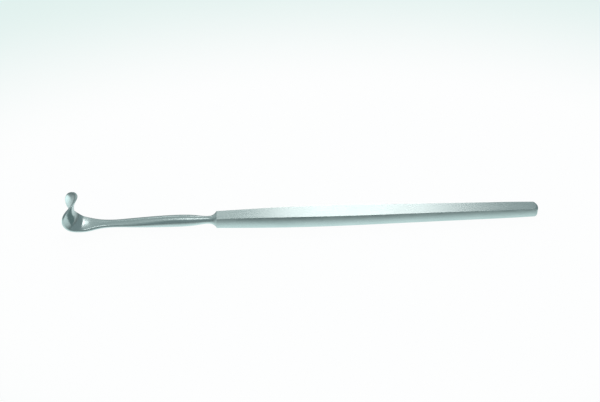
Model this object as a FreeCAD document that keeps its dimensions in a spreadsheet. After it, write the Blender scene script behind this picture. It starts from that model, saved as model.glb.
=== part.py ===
"""Lid retractor with a saddle blade, forged in one piece of stainless steel.

The solid is modelled about its own axis: X runs from the blade to the handle's tail, Z is up and
Y is the width. The body's placement then tips it by the handle's taper, so that the straight rear
half of the underside lies on Z = 0, as the instrument lies on a table with its hook up.
"""
import FreeCAD
import Part
import Sketcher
import os
from FreeCAD import Vector

# Driving sizes in millimetres: alias, value, what it sets
SIZES = (
    ("overall_long", 140.0, "blade's outer face to the handle's tail"),
    ("handle_long", 95.85, "shoulder to tail"),
    ("belly_from_shoulder", 28.0, "shoulder to the thickest, widest station"),
    ("shoulder_wide", 3.85, "width of the flats at the shoulder"),
    ("belly_wide", 5.1, "width of the flats at the belly"),
    ("tail_wide", 3.3, "width of the flats at the tail"),
    ("shoulder_thick", 3.3, "height at the shoulder"),
    ("belly_thick", 3.85, "height at the belly"),
    ("tail_thick", 2.9, "height at the tail"),
    ("crown_radius", 5.0, "crown of the handle's sides"),
    ("tail_arc", 3.0, "radius of the tail's end in plan"),
    ("tail_round", 0.7, "rounding round the tail's end face"),
    ("flare_long", 2.3, "neck to shoulder"),
    ("flare_radius", 2.65, "hollow of the flare from neck to shoulder"),
    ("neck_wide", 2.28, "round neck in front of the shoulder"),
    ("swell_from_neck", 10.6, "neck to the shank's thickest station"),
    ("swell_wide", 3.58, "shank's width at the swell"),
    ("swell_thick", 3.48, "shank's thickness at the swell"),
    ("waist_from_neck", 25.5, "neck to the flattened waist"),
    ("waist_wide", 3.25, "shank's width at the waist"),
    ("waist_thick", 1.92, "shank's thickness at the waist"),
    ("root_from_neck", 32.2, "neck to the blade's root"),
    ("root_wide", 3.92, "width at the blade's root"),
    ("root_thick", 1.45, "thickness at the blade's root"),
    ("root_drop", 0.26, "how far the blade's root lies below the handle's axis"),
    ("bend_wide", 6.15, "width where the hook's bend starts"),
    ("bend_thick", 1.32, "thickness where the bend starts"),
    ("bend_radius", 3.8, "hook's bend, along the blade's middle surface"),
    ("bend_end_wide", 10.6, "width where the bend ends"),
    ("blade_wide", 10.85, "width of the blade at the lip's corners"),
    ("blade_thick", 1.0, "thickness where the bend ends"),
    ("lip_thick", 0.9, "thickness of the lip"),
    ("lip_height", 10.1, "lip's crest above the axis"),
    ("lean_from", 4.5, "height above the axis where the upright part starts to lean"),
    ("lean_radius", 9.6, "upright part leans to the handle along this arc"),
    ("arch_radius", 6.85, "arched crest of the lip, seen from the front"),
    ("corner_radius", 3.4, "rounded corners of the lip, seen from the front"),
    ("saddle_radius", 7.3, "bow of the blade across its width, seen from above"),
)

doc = FreeCAD.newDocument("lid_retractor")
sheet = doc.addObject("Spreadsheet::Sheet", "Sizes")
for row, (alias, size_value, meaning) in enumerate(SIZES, start=1):
    sheet.set(f"A{row}", alias)
    sheet.set(f"B{row}", str(size_value))
    sheet.set(f"C{row}", meaning)
    sheet.setAlias(f"B{row}", alias)
doc.recompute()

body = doc.addObject("PartDesign::Body", "Retractor")
body.Label = "retractor"
planes = {feature.Role: feature for feature in body.Origin.OriginFeatures}

# Numbers of an edge's two ends in a sketch, and of the sketch's own origin and upright axis
START_INDEX = 1
END_INDEX = 2
ORIGIN = (-1, 1)
UPRIGHT_AXIS = -2
CLOSE = 1e-6


def cell(alias):
    """Expression that names one cell of the sheet."""
    return f"Sizes.{alias}"


def half(alias):
    """Expression for half of one cell."""
    return f"(Sizes.{alias} / 2)"


def value(expression):
    """Number that an expression on the sheet's cells stands for."""
    return float(sheet.evalExpression(expression))


# Places along the axis
TAIL_X = half("overall_long")
SHOULDER_X = f"({TAIL_X} - Sizes.handle_long)"
BELLY_X = f"({SHOULDER_X} + Sizes.belly_from_shoulder)"
REAR_LONG = "(Sizes.handle_long - Sizes.belly_from_shoulder)"
TAPER = f"((Sizes.belly_thick - Sizes.tail_thick) / 2 / {REAR_LONG})"
NECK_X = f"({SHOULDER_X} - Sizes.flare_long)"


def sketch_across(name, x, z="0", turn="0"):
    """Sketch on a plane across the axis, through (x, z) and turned about Y."""
    sketch = body.newObject("Sketcher::SketchObject", name)
    sketch.AttachmentSupport = [(planes["YZ_Plane"], "")]
    sketch.MapMode = "FlatFace"
    sketch.AttachmentOffset = FreeCAD.Placement(
        Vector(0, value(z), value(x)), FreeCAD.Rotation(Vector(1, 0, 0), value(turn))
    )
    sketch.setExpression("AttachmentOffset.Base.z", x)
    sketch.setExpression("AttachmentOffset.Base.y", z)
    sketch.setExpression("AttachmentOffset.Rotation.Angle", turn)
    return sketch


def sketch_along(name, plane):
    """Sketch on an origin plane that holds the axis, X to the right."""
    sketch = body.newObject("Sketcher::SketchObject", name)
    sketch.AttachmentSupport = [(planes[plane], "")]
    sketch.MapMode = "FlatFace"
    return sketch


def cut_through(name, sketch):
    """Cuts a sketch's outlines out of the whole body, both ways."""
    pocket = body.newObject("PartDesign::Pocket", name)
    pocket.Profile = sketch
    pocket.Type = "ThroughAll"
    pocket.SideType = "Symmetric"
    doc.recompute()
    return pocket


def dimension(sketch, kind, name, expression, *where):
    """Adds a named dimension that follows an expression."""
    index = sketch.addConstraint(Sketcher.Constraint(kind, *where, value(expression)))
    sketch.renameConstraint(index, name)
    sketch.setExpression(f"Constraints.{name}", expression)


def place(sketch, name, edge, end, across, up):
    """Dimensions one end of an edge from the sketch's origin."""
    dimension(sketch, "DistanceX", f"{name}_x", across, *ORIGIN, edge, end)
    dimension(sketch, "DistanceY", f"{name}_y", up, *ORIGIN, edge, end)


def end_at(sketch, edge, point):
    """Which end of an edge lies at a point: arcs are kept counter-clockwise."""
    near = sketch.getPoint(edge, START_INDEX).distanceToPoint(point) < CLOSE
    return START_INDEX if near else END_INDEX


def outline(sketch, edges):
    """Adds edges that follow one another and joins them into a closed outline.

    Each edge is given as its kind and its points, and the list returned holds each edge's number
    with the number of the end that comes first along the outline.
    """
    first = sketch.GeometryCount
    corners = []
    for kind, *points in edges:
        vectors = [Vector(across, up, 0) for across, up in points]
        sketch.addGeometry(kind(*vectors))
        corners.append(vectors[0])
    ends = []
    for step in range(len(edges)):
        edge = first + step
        after = first + (step + 1) % len(edges)
        corner = corners[(step + 1) % len(edges)]
        sketch.addConstraint(
            Sketcher.Constraint(
                "Coincident", edge, end_at(sketch, edge, corner), after, end_at(sketch, after, corner)
            )
        )
        ends.append((edge, end_at(sketch, edge, corners[step])))
    return ends


def through(sketch, name, edge, across, up):
    """Makes an arc pass through a dimensioned point."""
    point = sketch.addGeometry(Part.Point(Vector(value(across), value(up), 0)), True)
    place(sketch, name, point, START_INDEX, across, up)
    sketch.addConstraint(Sketcher.Constraint("PointOnObject", point, START_INDEX, edge))


def arc_section(name, station, top, low, side, crest, sole):
    """Outline of four arcs, alike left and right.

    top and low are the right-hand corners where the arcs meet, side is the outermost point of the
    right-hand arc, and crest and sole are the heights of the upper and lower arcs in the middle.
    """
    sketch = sketch_across(name, *station)
    (top_y, top_z), (low_y, low_z), (side_y, side_z) = (
        [value(number) for number in pair] for pair in (top, low, side)
    )
    ends = outline(
        sketch,
        (
            (Part.Arc, (top_y, top_z), (0, value(crest)), (-top_y, top_z)),
            (Part.Arc, (-top_y, top_z), (-side_y, side_z), (-low_y, low_z)),
            (Part.Arc, (-low_y, low_z), (0, value(sole)), (low_y, low_z)),
            (Part.Arc, (low_y, low_z), (side_y, side_z), (top_y, top_z)),
        ),
    )
    top_right, top_left, low_left, low_right = ends
    for left, right in ((top_left, top_right), (low_left, low_right)):
        sketch.addConstraint(Sketcher.Constraint("Symmetric", *left, *right, UPRIGHT_AXIS))
    place(sketch, "top", *top_right, *top)
    place(sketch, "low", *low_right, *low)
    through(sketch, "crest", top_right[0], "0", crest)
    through(sketch, "sole", low_left[0], "0", sole)
    through(sketch, "side", low_right[0], *side)
    sketch.addConstraint(Sketcher.Constraint("Equal", low_right[0], top_left[0]))
    return sketch


def bar_section(name, x, wide, thick, spare="0"):
    """Handle's outline: flat above and below, crowned at the sides.

    The crown passes through the edges of flats that are wide apart by thick. spare is what the
    outline stands taller than that, above and below, before the flats are cut.
    """
    sketch = sketch_across(name, x)
    centre = f"({wide} / 2 - sqrt(Sizes.crown_radius ^ 2 - ({thick} / 2) ^ 2))"
    high = f"({thick} / 2 + {spare})"
    edge_y = f"({centre} + sqrt(Sizes.crown_radius ^ 2 - {high} ^ 2))"
    bulge = f"({centre} + Sizes.crown_radius)"
    across, up, out = value(edge_y), value(high), value(bulge)
    ends = outline(
        sketch,
        (
            (Part.LineSegment, (across, up), (-across, up)),
            (Part.Arc, (-across, up), (-out, 0), (-across, -up)),
            (Part.LineSegment, (-across, -up), (across, -up)),
            (Part.Arc, (across, -up), (out, 0), (across, up)),
        ),
    )
    top_right, top_left, low_left, low_right = ends
    for left, right in ((top_left, top_right), (low_left, low_right)):
        sketch.addConstraint(Sketcher.Constraint("Symmetric", *left, *right, UPRIGHT_AXIS))
    place(sketch, "top", *top_right, edge_y, high)
    place(sketch, "low", *low_right, edge_y, f"(0 - {high})")
    dimension(sketch, "Radius", "crown", cell("crown_radius"), low_right[0])
    sketch.addConstraint(Sketcher.Constraint("Equal", low_right[0], top_left[0]))
    return sketch


def round_section(name, x, wide):
    """Round outline in four quarter arcs."""
    radius = f"({wide} / 2)"
    corner = f"({radius} * sqrt(0.5))"
    low = f"(0 - {corner})"
    return arc_section(
        name, (x,), (corner, corner), (corner, low), (radius, "0"), radius, f"(0 - {radius})"
    )


def oval_section(name, station, wide, thick):
    """Oval of four arcs that meet without a kink, at 45 degrees."""
    reach = f"(({wide} - {thick}) / 2 / (2 - sqrt(2)))"
    end = f"({wide} / 2 - {reach})"
    corner_y = f"({reach} + {end} * sqrt(0.5))"
    corner_z = f"({end} * sqrt(0.5))"
    return arc_section(
        name,
        station,
        (corner_y, corner_z),
        (corner_y, f"(0 - {corner_z})"),
        (f"({wide} / 2)", "0"),
        f"({thick} / 2)",
        f"(0 - {thick} / 2)",
    )


def rim_middle(half_wide, rim, bow):
    """Where the middle of a bowed band's rounded rim lies.

    The result is its reach from the band's middle, the sine of the band's slope there and its
    drop below the band's middle.
    """
    rough = f"(({half_wide} - {rim}) * {bow})"
    reach = f"({half_wide} - {rim} * sqrt(1 - {rough} ^ 2))"
    rise = f"({reach} * {bow})"
    drop = f"({reach} * {rise} / (1 + sqrt(1 - {rise} ^ 2)))"
    return reach, rise, drop


def band_section(name, station, half_wide, half_thick, rim, bow):
    """Bowed band with rounded rims: its edges lie below its middle by the bow.

    rim is the radius of the rounded rims, and bow is the curvature across the width, 0 when flat.
    """
    reach, rise, drop = rim_middle(half_wide, rim, bow)
    thin = f"(atan(2 * ({half_thick} - {rim}) / {reach}))"
    lean = f"(asin({rise}))"
    side_y = f"({reach} + {rim} * cos({lean}))"
    return arc_section(
        name,
        station,
        (
            f"({reach} + {rim} * sin({lean} + {thin}))",
            f"({rim} * cos({lean} + {thin}) - {drop})",
        ),
        (
            f"({reach} - {rim} * sin({lean} - {thin}))",
            f"(0 - {rim} * cos({lean} - {thin}) - {drop})",
        ),
        (side_y, f"(0 - {rim} * sin({lean}) - {drop})"),
        half_thick,
        f"(0 - {half_thick})",
    )


# The handle: a bar lofted through crowned sections, widest at the belly and taller than its flats
SPARE = "0.4"
FRONT_STEPS = 2
REAR_STEPS = 3
FRONT_FULLNESS = 0.75
REAR_FULLNESS = 1.8


def blend(alias, towards, share):
    """Expression between two cells, by a share of the way."""
    return f"(Sizes.{alias} + (Sizes.{towards} - Sizes.{alias}) * {share})"


bar_sketches = []
for step in range(FRONT_STEPS):
    share = (step / FRONT_STEPS) ** FRONT_FULLNESS
    bar_sketches.append(
        bar_section(
            f"bar_front_{step}",
            f"({SHOULDER_X} + Sizes.belly_from_shoulder * {step / FRONT_STEPS})",
            blend("shoulder_wide", "belly_wide", share),
            blend("shoulder_thick", "belly_thick", share),
            SPARE,
        )
    )
for step in range(REAR_STEPS + 1):
    share = step / REAR_STEPS
    bar_sketches.append(
        bar_section(
            f"bar_rear_{step}",
            f"({BELLY_X} + {REAR_LONG} * {share})",
            blend("belly_wide", "tail_wide", share**REAR_FULLNESS),
            blend("belly_thick", "tail_thick", share),
            SPARE,
        )
    )
bar = body.newObject("PartDesign::AdditiveLoft", "bar")
bar.Profile = bar_sketches[0]
bar.Sections = bar_sketches[1:]
doc.recompute()
bar_volume = bar.Shape.Volume

# Its flats: straight from the tail to the belly, then a long arc down to the shoulder
MARGIN = "0.5"
ROOF = f"(Sizes.belly_thick / 2 + {SPARE} + {MARGIN})"
FRONT_X = f"({SHOULDER_X} - {MARGIN})"
REAR_X = f"({TAIL_X} + {MARGIN})"
REAR_HIGH = f"(Sizes.tail_thick / 2 - {TAPER} * {MARGIN})"
HOLLOW = (
    f"((Sizes.belly_thick / 2 + {TAPER} * Sizes.belly_from_shoulder"
    " - Sizes.shoulder_thick / 2) / Sizes.belly_from_shoulder ^ 2)"
)
FRONT_RUN = f"(Sizes.belly_from_shoulder + {MARGIN})"
FRONT_HIGH = f"(Sizes.belly_thick / 2 + {TAPER} * {FRONT_RUN} - {HOLLOW} * {FRONT_RUN} ^ 2)"
flats_sketch = sketch_along("flats", "XZ_Plane")
for name, sign in (("upper", ""), ("lower", "0 - ")):
    roof, rear, belly, shoulder, front = (
        f"({sign}{high})"
        for high in (ROOF, REAR_HIGH, half("belly_thick"), half("shoulder_thick"), FRONT_HIGH)
    )
    front_x, rear_x, belly_x, shoulder_x = (value(x) for x in (FRONT_X, REAR_X, BELLY_X, SHOULDER_X))
    ends = outline(
        flats_sketch,
        (
            (Part.LineSegment, (front_x, value(roof)), (rear_x, value(roof))),
            (Part.LineSegment, (rear_x, value(roof)), (rear_x, value(rear))),
            (Part.LineSegment, (rear_x, value(rear)), (belly_x, value(belly))),
            (Part.Arc, (belly_x, value(belly)), (shoulder_x, value(shoulder)), (front_x, value(front))),
            (Part.LineSegment, (front_x, value(front)), (front_x, value(roof))),
        ),
    )
    for label, end, across, up in (
        ("roof_front", ends[0], FRONT_X, roof),
        ("roof_rear", ends[1], REAR_X, roof),
        ("rear", ends[2], REAR_X, rear),
        ("belly", ends[3], BELLY_X, belly),
        ("front", ends[4], FRONT_X, front),
    ):
        place(flats_sketch, f"{name}_{label}", *end, across, up)
    through(flats_sketch, f"{name}_shoulder", ends[3][0], SHOULDER_X, shoulder)
flats = cut_through("flats_cut", flats_sketch)

# The tail's end: round in plan, and its edges rounded on all four sides
CROWN_SHARE = 0.62
CORNER_WIDE = f"(Sizes.tail_wide * {CROWN_SHARE})"
CORNER_X = f"({TAIL_X} - Sizes.tail_arc + sqrt(Sizes.tail_arc ^ 2 - {CORNER_WIDE} ^ 2))"
end_sketch = sketch_along("tail_end", "XY_Plane")
corner_x, corner_y, tail_x, rear_x = (value(n) for n in (CORNER_X, CORNER_WIDE, TAIL_X, REAR_X))
ends = outline(
    end_sketch,
    (
        (Part.Arc, (corner_x, -corner_y), (tail_x, 0), (corner_x, corner_y)),
        (Part.LineSegment, (corner_x, corner_y), (rear_x, corner_y)),
        (Part.LineSegment, (rear_x, corner_y), (rear_x, -corner_y)),
        (Part.LineSegment, (rear_x, -corner_y), (corner_x, -corner_y)),
    ),
)
for label, end, across, up in (
    ("right", ends[0], CORNER_X, f"(0 - {CORNER_WIDE})"),
    ("left", ends[1], CORNER_X, CORNER_WIDE),
    ("rear_left", ends[2], REAR_X, CORNER_WIDE),
    ("rear_right", ends[3], REAR_X, f"(0 - {CORNER_WIDE})"),
):
    place(end_sketch, label, *end, across, up)
through(end_sketch, "tail", ends[0][0], TAIL_X, "0")
tail_end = cut_through("tail_cut", end_sketch)
tail_edges = [
    f"Edge{number}"
    for number, edge in enumerate(tail_end.Shape.Edges, start=1)
    if edge.BoundBox.XMin > value(CORNER_X)
]
tail_fillet = body.newObject("PartDesign::Fillet", "tail_fillet")
tail_fillet.Base = (tail_end, tail_edges)
tail_fillet.setExpression("Radius", cell("tail_round"))
doc.recompute()

# The flare: from the shoulder's outline down to the round neck, hollow along the axis
FLARE_SHARES = (0.93, 0.78, 0.5)
NECK_CORNER = "(Sizes.neck_wide / 2 * sqrt(0.5))"
SHOULDER_BULGE = (
    "(Sizes.shoulder_wide / 2 - sqrt(Sizes.crown_radius ^ 2 - (Sizes.shoulder_thick / 2) ^ 2)"
    " + Sizes.crown_radius)"
)
DEPTH = "(Sizes.flare_radius - sqrt(Sizes.flare_radius ^ 2 - (Sizes.flare_long * {share}) ^ 2))"


def flare_section(name, share):
    """Outline between the neck's and the shoulder's, at a share of the flare's length."""
    rise = f"({DEPTH.format(share=share)} / {DEPTH.format(share=1)})"
    corner_y, corner_z, side, crest = (
        f"({neck} + ({shoulder} - {neck}) * {rise})"
        for neck, shoulder in (
            (NECK_CORNER, half("shoulder_wide")),
            (NECK_CORNER, half("shoulder_thick")),
            (half("neck_wide"), SHOULDER_BULGE),
            (half("neck_wide"), half("shoulder_thick")),
        )
    )
    return arc_section(
        name,
        (f"({NECK_X} + Sizes.flare_long * {share})",),
        (corner_y, corner_z),
        (corner_y, f"(0 - {corner_z})"),
        (side, "0"),
        crest,
        f"(0 - {crest})",
    )


sections = [bar_section("shoulder", SHOULDER_X, cell("shoulder_wide"), cell("shoulder_thick"))]
for step, share in enumerate(FLARE_SHARES):
    sections.append(flare_section(f"flare_{step}", share))

# The shank: round at the neck, swelling, then flattening and dropping towards the blade's root
SWELL_START_SHARE = 0.3
START_FULLNESS = 0.47
WAIST_DROP_SHARE = 0.7
sections += [
    round_section("neck", NECK_X, cell("neck_wide")),
    oval_section(
        "swell_start",
        (f"({NECK_X} - Sizes.swell_from_neck * {SWELL_START_SHARE})",),
        blend("neck_wide", "swell_wide", START_FULLNESS),
        blend("neck_wide", "swell_thick", START_FULLNESS),
    ),
    oval_section(
        "swell", (f"({NECK_X} - Sizes.swell_from_neck)",), cell("swell_wide"), cell("swell_thick")
    ),
    oval_section(
        "waist",
        (f"({NECK_X} - Sizes.waist_from_neck)", f"(0 - Sizes.root_drop * {WAIST_DROP_SHARE})"),
        cell("waist_wide"),
        cell("waist_thick"),
    ),
]
RIM_SHARE = 0.85
sections.append(
    band_section(
        "root",
        (f"({NECK_X} - Sizes.root_from_neck)", "(0 - Sizes.root_drop)"),
        half("root_wide"),
        half("root_thick"),
        f"(Sizes.root_thick / 2 * {RIM_SHARE})",
        "0",
    )
)

# The hook: a band bent up through 90 degrees and bowed across, as if turned about an upright axis
SADDLE_BOW = "(1 / Sizes.saddle_radius)"
OUTER_RIM = f"(Sizes.lip_thick / 2 * {RIM_SHARE})"
OUTER_DROP = rim_middle(half("blade_wide"), OUTER_RIM, SADDLE_BOW)[2]
UPRIGHT_X = f"({OUTER_DROP} + {OUTER_RIM} - {TAIL_X})"
BEND_X = f"({UPRIGHT_X} + Sizes.bend_radius)"
BEND_STEPS = 4
BOW_FULLNESS = 1.6
for step in range(BEND_STEPS + 1):
    turn = 90 * step / BEND_STEPS
    along = step / BEND_STEPS
    share = (along + along * along * (3 - 2 * along)) / 2
    axis_away = f"(Sizes.saddle_radius + Sizes.bend_radius * (1 - sin({turn})))"
    sections.append(
        band_section(
            f"bend_{step}",
            (
                f"({BEND_X} - Sizes.bend_radius * sin({turn}))",
                f"(Sizes.bend_radius * (1 - cos({turn})) - Sizes.root_drop)",
                f"{turn}",
            ),
            f"({blend('bend_wide', 'bend_end_wide', share)} / 2)",
            f"({blend('bend_thick', 'blade_thick', along)} / 2)",
            f"({blend('bend_thick', 'blade_thick', along)} / 2 * {RIM_SHARE})",
            f"(sin({turn}) ^ {BOW_FULLNESS} / {axis_away})",
        )
    )

# The lip: level sections up the upright part, as wide as the arch is there
ARCH_MIDDLE = "(Sizes.lip_height - Sizes.arch_radius)"
CORNER_Y = "(Sizes.blade_wide / 2 - Sizes.corner_radius)"
CORNER_Z = f"({ARCH_MIDDLE} + sqrt((Sizes.arch_radius - Sizes.corner_radius) ^ 2 - {CORNER_Y} ^ 2))"
CORNER_TURN = f"(atan(({CORNER_Z} - {ARCH_MIDDLE}) / {CORNER_Y}))"


def lip_section(name, z, half_wide, half_thick, rim):
    """Level section of the upright part, which leans towards the handle."""
    above = f"({z} - Sizes.lean_from)"
    lean = f"(Sizes.lean_radius - sqrt(Sizes.lean_radius ^ 2 - {above} ^ 2))"
    return band_section(
        name,
        (f"({UPRIGHT_X} + {lean})", z, "90"),
        half_wide,
        half_thick,
        rim,
        SADDLE_BOW,
    )


# Shares of the corner's arc, and of half the thickness for the rim's radius there
LIP_CORNER_STEPS = ((0, 0.9), (0.5, 0.85), (1, 0.6))
for step, (share, rim_share) in enumerate(LIP_CORNER_STEPS):
    turn = f"({CORNER_TURN} * {share})"
    sections.append(
        lip_section(
            f"corner_{step}",
            f"({CORNER_Z} + Sizes.corner_radius * sin({turn}))",
            f"({CORNER_Y} + Sizes.corner_radius * cos({turn}))",
            half("lip_thick"),
            f"(Sizes.lip_thick / 2 * {rim_share})",
        )
    )

# Depths below the crest and rim radii, as shares of half the thickness
LIP_CREST_STEPS = ((0.55, 0.4), (0.12, 0.3))
for step, (share, rim_share) in enumerate(LIP_CREST_STEPS):
    depth = f"(Sizes.lip_thick / 2 * {share})"
    high = f"(Sizes.lip_thick / 2 * {(1 - (1 - share) ** 2) ** 0.5})"
    sections.append(
        lip_section(
            f"crest_{step}",
            f"(Sizes.lip_height - {depth})",
            f"(sqrt(2 * Sizes.arch_radius * {depth} - {depth} ^ 2))",
            high,
            f"({high} * {rim_share})",
        )
    )

blade = body.newObject("PartDesign::AdditiveLoft", "shank_and_blade")
blade.Profile = sections[0]
blade.Sections = sections[1:]
doc.recompute()

# The body lies on the straight rear part of its underside
body.Placement = FreeCAD.Placement(Vector(), FreeCAD.Rotation(Vector(0, 1, 0), 0))
body.setExpression("Placement.Rotation.Angle", f"atan({TAPER})")
body.setExpression(
    "Placement.Base.z", f"((Sizes.belly_thick / 2 + {TAPER} * {BELLY_X}) * cos(atan({TAPER})))"
)
doc.recompute()

failed = [item.Name for item in doc.Objects if {"Invalid", "Error"} & set(item.State)]
if failed:
    raise RuntimeError(f"failed objects: {failed}")
if flats.Shape.Volume >= bar_volume:
    raise RuntimeError("the flats cut nothing")
if body.Shape.isNull() or not body.Shape.isValid() or len(body.Shape.Solids) != 1:
    raise RuntimeError("the body isn't one valid solid")
os.makedirs("parts", exist_ok=True)
body.Shape.exportStep(f"parts/{body.Label}.step")
box = body.Shape.BoundBox
print("volume", body.Shape.Volume, "centre", body.Shape.CenterOfGravity)
print("box", box, "faces", len(body.Shape.Faces))
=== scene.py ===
"""Handheld lid retractor in satin ground steel, lying hook up on a white light table.

Sizes are in metres, angles in degrees.
"""

import logging
import math
from dataclasses import dataclass, field
from enum import Enum
from typing import Any, Union

import bpy
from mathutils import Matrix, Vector

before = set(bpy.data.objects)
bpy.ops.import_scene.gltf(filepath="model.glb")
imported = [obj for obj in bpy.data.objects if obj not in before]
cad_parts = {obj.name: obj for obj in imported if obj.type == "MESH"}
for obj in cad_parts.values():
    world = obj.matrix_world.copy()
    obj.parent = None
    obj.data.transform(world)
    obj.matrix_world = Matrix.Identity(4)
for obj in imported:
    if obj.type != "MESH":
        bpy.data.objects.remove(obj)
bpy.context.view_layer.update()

log = logging.getLogger("retractor")
MILLIMETRE = 0.001
NOISE_MIDDLE = 0.5
PICTURE_WIDE = 600
Colour = tuple[float, float, float]
Place = tuple[float, float, float]


class Ray(Enum):
    """Kinds of ray that a light table or the room answers in its own way."""

    CAMERA = "Is Camera Ray"
    GLOSSY = "Is Glossy Ray"
    TRANSMISSION = "Is Transmission Ray"


class Value:
    """A shader socket that takes part in Python arithmetic."""

    def __init__(self, bench: "Bench", socket: bpy.types.NodeSocket) -> None:
        """Keeps the socket and the bench that adds its nodes.

        Args:
            bench: The bench of the tree that the socket is in.
            socket: An output socket that carries a number.
        """
        self.bench = bench
        self.socket = socket

    def _math(self, operation: str, first: "Number", second: "Number") -> "Value":
        """Adds one Math node.

        Args:
            operation: The node's operation.
            first: Its first value.
            second: Its second value.

        Returns:
            The node's result.
        """
        return self.bench.value("ShaderNodeMath", {"operation": operation}, {0: first, 1: second})

    def __add__(self, other: "Number") -> "Value":
        """Sum."""
        return self._math("ADD", self, other)

    def __radd__(self, other: float) -> "Value":
        """Sum with a number in front."""
        return self._math("ADD", other, self)

    def __sub__(self, other: "Number") -> "Value":
        """Difference."""
        return self._math("SUBTRACT", self, other)

    def __rsub__(self, other: float) -> "Value":
        """Difference from a number in front."""
        return self._math("SUBTRACT", other, self)

    def __mul__(self, other: "Number") -> "Value":
        """Product."""
        return self._math("MULTIPLY", self, other)

    def __rmul__(self, other: float) -> "Value":
        """Product with a number in front."""
        return self._math("MULTIPLY", other, self)

    def at_least(self, other: "Number") -> "Value":
        """The larger of the two."""
        return self._math("MAXIMUM", self, other)


Number = Union[Value, float]


class Bench:
    """Adds and links the nodes of one tree."""

    def __init__(self, tree: bpy.types.NodeTree) -> None:
        """Empties the tree.

        Args:
            tree: A material's or the world's node tree.
        """
        self.tree = tree
        tree.nodes.clear()

    def node(
        self, kind: str, settings: dict[str, Any], inputs: dict[Union[str, int], Any]
    ) -> bpy.types.Node:
        """Adds one node of any kind.

        Args:
            kind: The node's type.
            settings: Its properties.
            inputs: Values or links for its sockets, by name or number.

        Returns:
            The node.
        """
        node = self.tree.nodes.new(kind)
        for name, setting in settings.items():
            setattr(node, name, setting)
        for name, given in inputs.items():
            socket = node.inputs[name]
            if isinstance(given, Value):
                self.tree.links.new(given.socket, socket)
            elif isinstance(given, bpy.types.NodeSocket):
                self.tree.links.new(given, socket)
            else:
                socket.default_value = given
        return node

    def value(
        self,
        kind: str,
        settings: dict[str, Any],
        inputs: dict[Union[str, int], Any],
        output: Union[str, int] = 0,
    ) -> Value:
        """Adds one node and returns one of its numbers.

        Args:
            kind: The node's type.
            settings: Its properties.
            inputs: Values or links for its sockets.
            output: The output's name or number.

        Returns:
            That output, ready for arithmetic.
        """
        return Value(self, self.node(kind, settings, inputs).outputs[output])

    def between(self, number: Value, low: float, high: float) -> Value:
        """Runs smoothly from 0 at low to 1 at high.

        Args:
            number: What is compared with the two limits.
            low: Where the result leaves 0.
            high: Where the result reaches 1.

        Returns:
            The smooth step.
        """
        return self.value(
            "ShaderNodeMapRange",
            {"interpolation_type": "SMOOTHSTEP"},
            {"Value": number, "From Min": low, "From Max": high},
        )

    def blend(self, share: Number, first: Any, second: Any) -> bpy.types.NodeSocket:
        """Blends two colours.

        Args:
            share: 0 for the first, 1 for the second.
            first: A colour or a link to one.
            second: A colour or a link to one.

        Returns:
            The blended colour's socket.
        """
        node = self.node("ShaderNodeMix", {"data_type": "RGBA"}, {"Factor": share})
        for name, given in (("A", first), ("B", second)):
            socket = next(s for s in node.inputs if s.name == name and s.type == "RGBA")
            if isinstance(given, bpy.types.NodeSocket):
                self.tree.links.new(given, socket)
            else:
                socket.default_value = (*given, 1.0)
        return next(s for s in node.outputs if s.type == "RGBA")

    def is_ray(self, *kinds: Ray) -> Value:
        """1 for rays of the kinds given, and 0 for others.

        Args:
            kinds: The kinds of ray.

        Returns:
            The test's result.
        """
        path = self.node("ShaderNodeLightPath", {}, {})
        test = Value(self, path.outputs[kinds[0].value])
        for kind in kinds[1:]:
            test = test.at_least(Value(self, path.outputs[kind.value]))
        return test


@dataclass(frozen=True)
class Pattern:
    """Noise with features of one length along the instrument and one width across it."""

    along: float
    across: float
    detail: float

    def noise(self, bench: Bench, place: bpy.types.NodeSocket) -> Value:
        """Adds the noise.

        Args:
            bench: The material's bench.
            place: Object coordinates.

        Returns:
            The noise, about 0 to 1.
        """
        stretched = bench.node(
            "ShaderNodeMapping",
            {"vector_type": "POINT"},
            {"Vector": place, "Scale": (1 / self.along, 1 / self.across, 1 / self.across)},
        )
        return bench.value(
            "ShaderNodeTexNoise",
            {},
            {"Vector": stretched.outputs["Vector"], "Scale": 1.0, "Detail": self.detail},
        )


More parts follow.
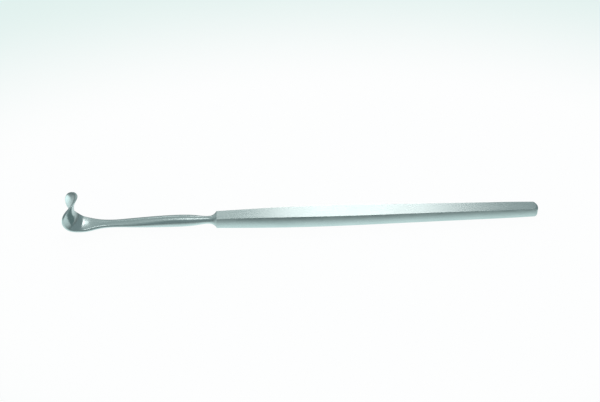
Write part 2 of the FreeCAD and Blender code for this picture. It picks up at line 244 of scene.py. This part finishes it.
@dataclass(frozen=True)
class SatinSteel:
    """Ground and glass-beaded stainless steel.

    The handle has fine lengthwise grain, the shank and the blade are beaded, and the blade is
    smoother than the rest. Edges are worn: paler and a little smoother.
    """

    pale: Colour = (0.64, 0.72, 0.71)
    deep: Colour = (0.56, 0.645, 0.635)
    roughness: float = 0.27
    blade_polish: float = 0.08
    worn_polish: float = 0.05
    cloud_swing: float = 0.07
    streak_swing: float = 0.05
    streaks: Pattern = Pattern(11 * MILLIMETRE, 0.55 * MILLIMETRE, 3.0)
    clouds: Pattern = Pattern(9 * MILLIMETRE, 9 * MILLIMETRE, 4.0)
    grain: Pattern = Pattern(6 * MILLIMETRE, 0.05 * MILLIMETRE, 2.0)
    beads: Pattern = Pattern(0.25 * MILLIMETRE, 0.25 * MILLIMETRE, 2.0)
    bump_deep: float = 0.0001 * MILLIMETRE
    streak_share: float = 0.55
    cloud_share: float = 0.45
    worn_shade: float = 0.9
    deep_until: float = 0.3
    pale_from: float = 0.7
    edge_round: float = 0.14 * MILLIMETRE
    edge_samples: int = 6
    worn_below: float = 0.86
    whole_above: float = 0.995
    blade_from: float = -60 * MILLIMETRE
    blade_to: float = -50 * MILLIMETRE
    handle_from: float = -31 * MILLIMETRE
    handle_to: float = -25 * MILLIMETRE

    def wear(self, bench: Bench) -> Value:
        """Finds the edges, where a rounded normal leaves the surface's own.

        Args:
            bench: The material's bench.

        Returns:
            The wear: 1 on a sharp edge, and 0 away from edges.
        """
        bevel = bench.node(
            "ShaderNodeBevel", {"samples": self.edge_samples}, {"Radius": self.edge_round}
        )
        surface = bench.node("ShaderNodeNewGeometry", {}, {})
        likeness = bench.value(
            "ShaderNodeVectorMath",
            {"operation": "DOT_PRODUCT"},
            {0: bevel.outputs["Normal"], 1: surface.outputs["Normal"]},
            "Value",
        )
        return 1 - bench.between(likeness, self.worn_below, self.whole_above)

    def material(self, name: str) -> bpy.types.Material:
        """Builds the finish.

        Args:
            name: The material's name.

        Returns:
            The material.
        """
        made = bpy.data.materials.new(name)
        made.use_nodes = True
        bench = Bench(made.node_tree)
        place = bench.node("ShaderNodeTexCoord", {}, {}).outputs["Object"]
        apart = bench.node("ShaderNodeSeparateXYZ", {}, {"Vector": place})
        along = Value(bench, apart.outputs["X"])
        off_blade = bench.between(along, self.blade_from, self.blade_to)
        on_handle = bench.between(along, self.handle_from, self.handle_to)

        streaks = self.streaks.noise(bench, place)
        clouds = self.clouds.noise(bench, place)
        grain = self.grain.noise(bench, place)
        beads = self.beads.noise(bench, place)
        texture = grain * on_handle + beads * (1 - on_handle)

        worn = self.wear(bench)
        plain = streaks * self.streak_share + clouds * self.cloud_share
        shade = plain * (1 - worn) + worn * self.worn_shade
        paleness = bench.between(shade, self.deep_until, self.pale_from)
        colour = bench.blend(paleness, self.deep, self.pale)
        roughness = (
            self.roughness
            - self.blade_polish * (1 - off_blade)
            + (clouds - NOISE_MIDDLE) * self.cloud_swing
            + (streaks - NOISE_MIDDLE) * self.streak_swing * on_handle
            - worn * self.worn_polish
        )
        bump = bench.node(
            "ShaderNodeBump",
            {},
            {"Strength": 1.0, "Distance": self.bump_deep, "Height": texture},
        )
        shader = bench.node(
            "ShaderNodeBsdfPrincipled",
            {},
            {
                "Base Color": colour,
                "Metallic": 1.0,
                "Roughness": roughness,
                "Normal": bump.outputs["Normal"],
            },
        )
        bench.node("ShaderNodeOutputMaterial", {}, {"Surface": shader.outputs["BSDF"]})
        return made


@dataclass(frozen=True)
class LightTableTop:
    """White table top glowing from below, with a painted fall-off of light to green-grey far out.

    Steel that mirrors it sees painted reflections: a cyan tint, less light at grazing angles and
    a round painted pool of more light beyond the end of the blade.
    """

    middle: Colour = (1.0, 1.0, 1.0)
    # Painted fall-off of light: the darker green-grey that the top takes at its rim.
    rim: Colour = (0.77, 0.89, 0.865)
    middle_until: float = 0.9
    rim_from: float = 2.1
    bright_long: float = 125 * MILLIMETRE
    bright_deep: float = 80 * MILLIMETRE
    bright_at: tuple[float, float] = (12 * MILLIMETRE, 0.0)
    roughness: float = 0.6
    glow: float = 0.9
    white: float = 1.05
    # Painted reflection: the glow's strength as the steel sees it, and its fall at grazing
    # angles.
    steep: float = 1.18
    fall: float = 1.05
    facing_blend: float = 0.5
    # Painted reflection: the cyan tint that only the steel's reflections of the table take.
    reflected_tint: Colour = (0.85, 1.0, 1.0)
    # Painted reflection: strength, place and size of a round pool of light seen only by the
    # steel.
    pool: float = 1.2
    pool_at: Place = (-92 * MILLIMETRE, 0.0, 0.0)
    pool_inner: float = 6 * MILLIMETRE
    pool_outer: float = 22 * MILLIMETRE

    def material(self, name: str) -> bpy.types.Material:
        """Builds the finish.

        Args:
            name: The material's name.

        Returns:
            The material.
        """
        made = bpy.data.materials.new(name)
        made.use_nodes = True
        bench = Bench(made.node_tree)
        place = bench.node("ShaderNodeTexCoord", {}, {}).outputs["Object"]
        scaled = bench.node(
            "ShaderNodeMapping",
            {"vector_type": "POINT"},
            {
                "Vector": place,
                "Location": (
                    -self.bright_at[0] / self.bright_long,
                    -self.bright_at[1] / self.bright_deep,
                    0.0,
                ),
                "Scale": (1 / self.bright_long, 1 / self.bright_deep, 1.0),
            },
        )
        away = bench.value(
            "ShaderNodeVectorMath",
            {"operation": "LENGTH"},
            {0: scaled.outputs["Vector"]},
            "Value",
        )
        # Painted fall-off of light: the top darkens to green-grey towards its rim.
        dimmed = bench.between(away, self.middle_until, self.rim_from)
        colour = bench.blend(dimmed, self.middle, self.rim)
        matt = bench.node(
            "ShaderNodeBsdfPrincipled", {}, {"Base Color": colour, "Roughness": self.roughness}
        )
        # Painted reflection: for glossy rays the glow weakens at grazing angles.
        grazing = bench.value(
            "ShaderNodeLayerWeight", {}, {"Blend": self.facing_blend}, "Facing"
        )
        mirrored = bench.is_ray(Ray.GLOSSY)
        # Painted reflection: a round pool of more light beyond the end of the blade, seen only in
        # the steel.
        off_pool = bench.value(
            "ShaderNodeVectorMath",
            {"operation": "DISTANCE"},
            {0: place, 1: self.pool_at},
            "Value",
        )
        pooled = (1 - bench.between(off_pool, self.pool_inner, self.pool_outer)) * self.pool
        strength = self.white - mirrored * (
            self.white - self.steep + self.fall * grazing - pooled
        )
        # Painted reflection: glossy rays see the glow in a cyan tint.
        tint = bench.blend(mirrored, colour, self.reflected_tint)
        glowing = bench.node("ShaderNodeEmission", {}, {"Color": tint, "Strength": strength})
        seen = bench.is_ray(Ray.CAMERA, Ray.GLOSSY, Ray.TRANSMISSION) * self.glow
        top = bench.node(
            "ShaderNodeMixShader",
            {},
            {0: seen, 1: matt.outputs["BSDF"], 2: glowing.outputs["Emission"]},
        )
        bench.node("ShaderNodeOutputMaterial", {}, {"Surface": top.outputs["Shader"]})
        return made


@dataclass
class Retractor:
    """The instrument: one forged piece, dressed in its steel."""

    node: str = "retractor"
    steel: SatinSteel = field(default_factory=SatinSteel)

    def dress(self) -> bpy.types.Object:
        """Gives the piece its finish.

        Returns:
            The dressed object.
        """
        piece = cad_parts[self.node]
        finish = self.steel.material("satin_steel")
        for slot in piece.material_slots:
            slot.material = finish
        log.info("%s dressed, %d faces", piece.name, len(piece.data.polygons))
        return piece


@dataclass
class LightTable:
    """Flat glowing table under the instrument."""

    half_wide: float = 2.5
    top: LightTableTop = field(default_factory=LightTableTop)

    def build(self) -> bpy.types.Object:
        """Makes the table top.

        Returns:
            The staged object.
        """
        reach = self.half_wide
        corners = [
            (-reach, -reach, 0.0),
            (reach, -reach, 0.0),
            (reach, reach, 0.0),
            (-reach, reach, 0.0),
        ]
        mesh = bpy.data.meshes.new("light_table")
        mesh.from_pydata(corners, [], [(0, 1, 2, 3)])
        mesh.materials.append(self.top.material("table_top"))
        table = bpy.data.objects.new("light_table", mesh)
        bpy.context.scene.collection.objects.link(table)
        log.info("%s built", table.name)
        return table


@dataclass(frozen=True)
class SoftLamp:
    """Rectangular lamp that faces a point of the instrument and isn't seen by the camera.

    Its azimuth runs from +Y towards +X.
    """

    name: str
    azimuth: float
    elevation: float
    distance: float
    wide: float
    high: float
    radiance: float
    aim: Place = (0.0, 0.0, 0.0)
    colour: Colour = (1.0, 1.0, 1.0)

    def build(self) -> bpy.types.Object:
        """Makes the lamp.

        Returns:
            The lamp object.
        """
        lamp = bpy.data.lights.new(self.name, "AREA")
        lamp.shape = "RECTANGLE"
        lamp.size = self.wide
        lamp.size_y = self.high
        lamp.energy = self.radiance * math.pi * self.wide * self.high
        lamp.color = self.colour
        held = bpy.data.objects.new(self.name, lamp)
        turn, rise = math.radians(self.azimuth), math.radians(self.elevation)
        towards = Vector(
            (math.sin(turn) * math.cos(rise), math.cos(turn) * math.cos(rise), math.sin(rise))
        )
        held.location = Vector(self.aim) + towards * self.distance
        held.rotation_euler = towards.to_track_quat("Z", "Y").to_euler()
        held.visible_camera = False
        bpy.context.scene.collection.objects.link(held)
        log.info("%s built", held.name)
        return held


@dataclass
class Lighting:
    """The lamps that the steel mirrors: a panel, a small card and a strip overhead."""

    lamps: tuple[SoftLamp, ...] = (
        SoftLamp(
            name="back_panel",
            azimuth=9.4,
            elevation=38.0,
            distance=0.76,
            wide=0.18,
            high=0.137,
            radiance=2.5,
            colour=(1.0, 0.95, 0.95),
        ),
        SoftLamp(
            name="blade_card",
            azimuth=0.5,
            elevation=38.5,
            distance=0.19,
            wide=0.028,
            high=0.022,
            radiance=1.6,
            aim=(-65 * MILLIMETRE, 0.0, 3 * MILLIMETRE),
        ),
        SoftLamp(
            name="ceiling_strip",
            azimuth=180.0,
            elevation=79.0,
            distance=0.5,
            wide=0.2,
            high=0.056,
            radiance=3.2,
            aim=(30 * MILLIMETRE, 0.0, 0.0),
        ),
    )

    def build(self) -> list[bpy.types.Object]:
        """Makes all lamps."""
        return [lamp.build() for lamp in self.lamps]


@dataclass
class Room:
    """Dim surroundings, paler overhead and on the wall behind the instrument.

    The camera itself sees them white.
    """

    dim: Colour = (0.24, 0.305, 0.315)
    pale: Colour = (0.43, 0.505, 0.505)
    seen_white: Colour = (1.0, 1.0, 1.0)
    wall: Place = (-0.246, 0.818, 0.519)
    wall_from: float = 0.80
    wall_to: float = 0.97
    ceiling_from: float = 0.72
    ceiling_to: float = 0.95

    def build(self) -> bpy.types.World:
        """Makes the world.

        Returns:
            The world.
        """
        world = bpy.data.worlds.new("room")
        world.use_nodes = True
        bench = Bench(world.node_tree)
        direction = bench.node("ShaderNodeTexCoord", {}, {}).outputs["Generated"]
        apart = bench.node("ShaderNodeSeparateXYZ", {}, {"Vector": direction})
        towards_wall = bench.value(
            "ShaderNodeVectorMath",
            {"operation": "DOT_PRODUCT"},
            {0: direction, 1: self.wall},
            "Value",
        )
        on_wall = bench.between(towards_wall, self.wall_from, self.wall_to)
        rise = Value(bench, apart.outputs["Z"])
        on_ceiling = bench.between(rise, self.ceiling_from, self.ceiling_to)
        colour = bench.blend(on_wall.at_least(on_ceiling), self.dim, self.pale)
        seen = bench.blend(bench.is_ray(Ray.CAMERA), colour, self.seen_white)
        air = bench.node("ShaderNodeBackground", {}, {"Color": seen, "Strength": 1.0})
        bench.node("ShaderNodeOutputWorld", {}, {"Surface": air.outputs["Background"]})
        bpy.context.scene.world = world
        log.info("room built")
        return world


@dataclass
class PhotoCamera:
    """Camera at the photograph's place and angle.

    Its aim on the table is measured across the view and along it.
    """

    aim: tuple[float, float] = (-1.218 * MILLIMETRE, 9.99 * MILLIMETRE)
    distance: float = 349.5 * MILLIMETRE
    elevation: float = 38.0
    turn: float = 3.522
    focal_pixels: float = 1150.0
    sensor: float = 36.0
    nearest: float = 0.01
    farthest: float = 20.0

    def build(self) -> bpy.types.Object:
        """Makes the camera and makes it the scene's own.

        Returns:
            The camera object.
        """
        lens = bpy.data.cameras.new("photo_camera")
        lens.sensor_fit = "HORIZONTAL"
        lens.sensor_width = self.sensor
        lens.lens = self.focal_pixels / PICTURE_WIDE * self.sensor
        lens.clip_start = self.nearest
        lens.clip_end = self.farthest
        camera = bpy.data.objects.new("photo_camera", lens)
        turn, rise = math.radians(self.turn), math.radians(self.elevation)
        level = Vector((-math.sin(turn), -math.cos(turn), 0.0))
        away = level * math.cos(rise) + Vector((0.0, 0.0, math.sin(rise)))
        across = Vector((math.cos(turn), -math.sin(turn), 0.0))
        aim = across * self.aim[0] - level * self.aim[1]
        camera.location = aim + away * self.distance
        camera.rotation_euler = away.to_track_quat("Z", "Y").to_euler()
        bpy.context.scene.collection.objects.link(camera)
        bpy.context.scene.camera = camera
        log.info("%s built", camera.name)
        return camera


def main() -> None:
    """Dresses the instrument, sets it on the table and lights it."""
    logging.basicConfig(level=logging.INFO)
    bpy.context.scene.view_settings.view_transform = "Standard"
    Retractor().dress()
    LightTable().build()
    Room().build()
    Lighting().build()
    PhotoCamera().build()


if __name__ == "__main__":
    main()
